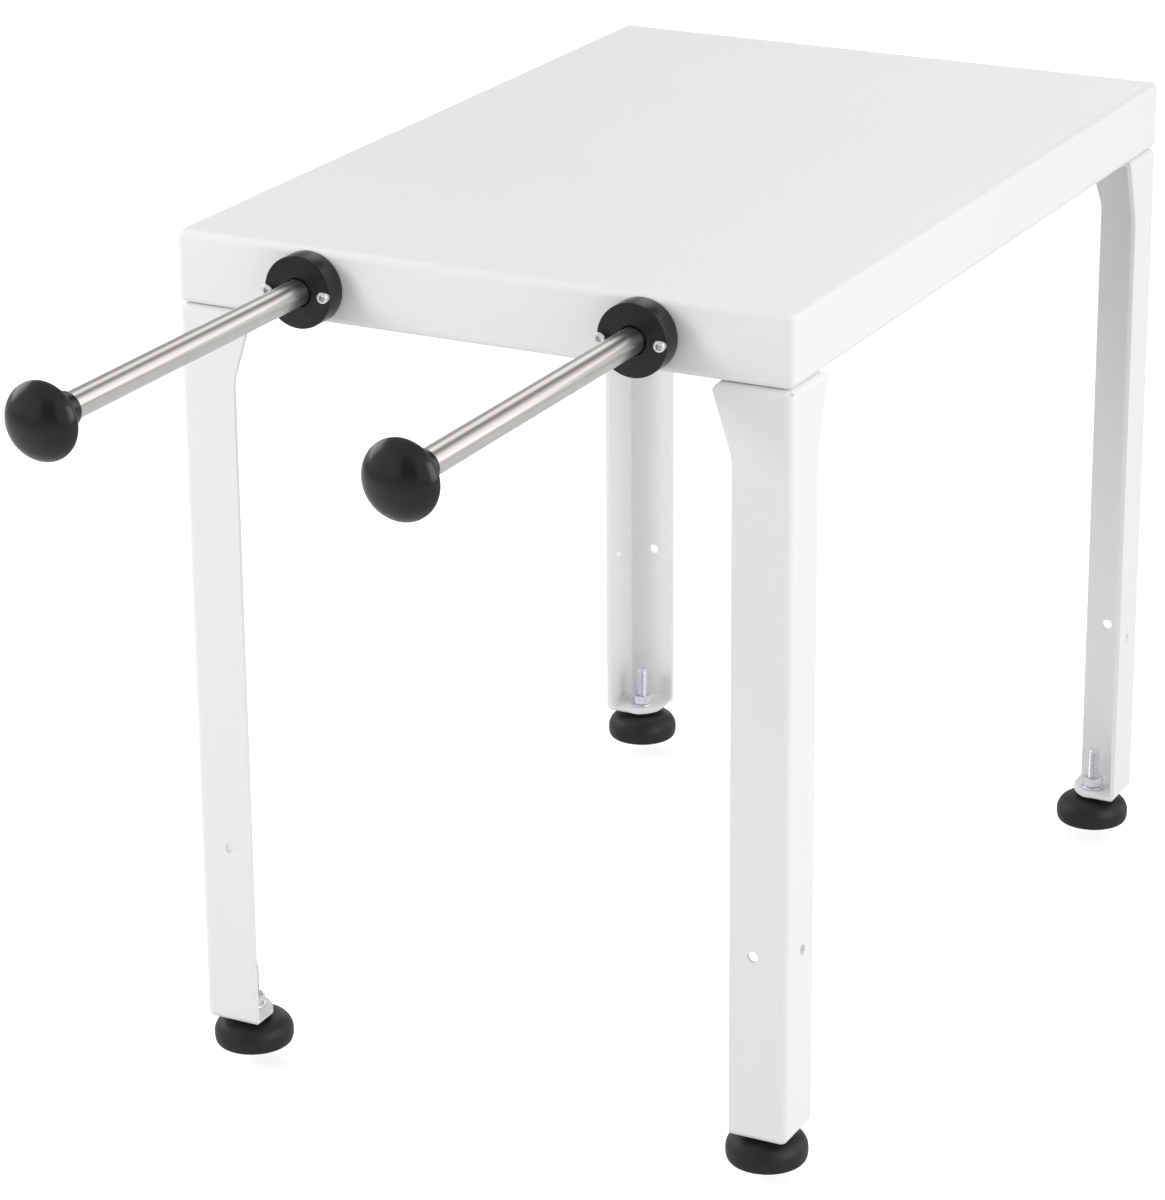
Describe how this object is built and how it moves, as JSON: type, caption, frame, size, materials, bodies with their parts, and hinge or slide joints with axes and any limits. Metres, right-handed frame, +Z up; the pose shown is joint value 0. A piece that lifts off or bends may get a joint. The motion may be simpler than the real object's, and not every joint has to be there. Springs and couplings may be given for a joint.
{
  "type": "low support table with rods",
  "caption": "Low white sheet-steel table on angle legs with levelling feet, and horizontal steel rods with mushroom knobs standing out of its front apron.",
  "frame": {"origin": "on the floor, under the centre of the whole object's box, rods and knobs included", "axes": "+Z up, +Y from the knobs towards the back of the table, +X to the right seen from the knobs"},
  "size_m": [0.407, 0.8932, 0.535],
  "materials": {
    "white_powder_coat": "fine satin powder coat",
    "black_anodised": "satin black turned metal",
    "black_plastic": "semi-gloss moulded",
    "black_rubber": "matt moulded",
    "brushed_steel": "brushed along and around the rod",
    "zinc_plate": "bright zinc plating",
    "stainless": "bright stainless"
  },
  "bodies": {
    "table": {"tabletop": "white_powder_coat", "leg_front_left": "white_powder_coat", "leg_front_right": "white_powder_coat", "leg_back_right": "white_powder_coat", "leg_back_left": "white_powder_coat", "leg_bolt_front_left_1": "zinc_plate", "leg_nut_front_left_1": "zinc_plate", "leg_bolt_front_left_2": "zinc_plate", "leg_nut_front_left_2": "zinc_plate", "leg_bolt_front_right_1": "zinc_plate", "leg_nut_front_right_1": "zinc_plate", "leg_bolt_front_right_2": "zinc_plate", "leg_nut_front_right_2": "zinc_plate", "leg_bolt_back_right_1": "zinc_plate", "leg_nut_back_right_1": "zinc_plate", "leg_bolt_back_right_2": "zinc_plate", "leg_nut_back_right_2": "zinc_plate", "leg_bolt_back_left_1": "zinc_plate", "leg_nut_back_left_1": "zinc_plate", "leg_bolt_back_left_2": "zinc_plate", "leg_nut_back_left_2": "zinc_plate", "foot_nut_front_left": "zinc_plate", "foot_washer_front_left": "zinc_plate", "foot_nut_front_right": "zinc_plate", "foot_washer_front_right": "zinc_plate", "foot_nut_back_right": "zinc_plate", "foot_washer_back_right": "zinc_plate", "foot_nut_back_left": "zinc_plate", "foot_washer_back_left": "zinc_plate", "rod_left": "brushed_steel", "rod_flange_left": "black_anodised", "knob_left": "black_plastic", "rod_washer_left": "zinc_plate", "rod_bolt_left": "zinc_plate", "flange_screw_left_outer": "stainless", "flange_nut_left_outer": "stainless", "flange_screw_left_inner": "stainless", "flange_nut_left_inner": "stainless", "rod_right": "brushed_steel", "rod_flange_right": "black_anodised", "knob_right": "black_plastic", "rod_washer_right": "zinc_plate", "rod_bolt_right": "zinc_plate", "flange_screw_right_outer": "stainless", "flange_nut_right_outer": "stainless", "flange_screw_right_inner": "stainless", "flange_nut_right_inner": "stainless"},
    "foot_front_left": {"foot_pad_front_left": "black_rubber", "foot_stud_front_left": "zinc_plate"},
    "foot_front_right": {"foot_pad_front_right": "black_rubber", "foot_stud_front_right": "zinc_plate"},
    "foot_back_right": {"foot_pad_back_right": "black_rubber", "foot_stud_back_right": "zinc_plate"},
    "foot_back_left": {"foot_pad_back_left": "black_rubber", "foot_stud_back_left": "zinc_plate"}
  },
  "joints": [
    {"name": "foot_front_left_height", "type": "slide", "parent": "table", "child": "foot_front_left", "axis": [0, 0, 1], "range_m": [-0.015, 0.001]},
    {"name": "foot_front_right_height", "type": "slide", "parent": "table", "child": "foot_front_right", "axis": [0, 0, 1], "range_m": [-0.015, 0.001]},
    {"name": "foot_back_right_height", "type": "slide", "parent": "table", "child": "foot_back_right", "axis": [0, 0, 1], "range_m": [-0.015, 0.001]},
    {"name": "foot_back_left_height", "type": "slide", "parent": "table", "child": "foot_back_left", "axis": [0, 0, 1], "range_m": [-0.015, 0.001]}
  ]
}
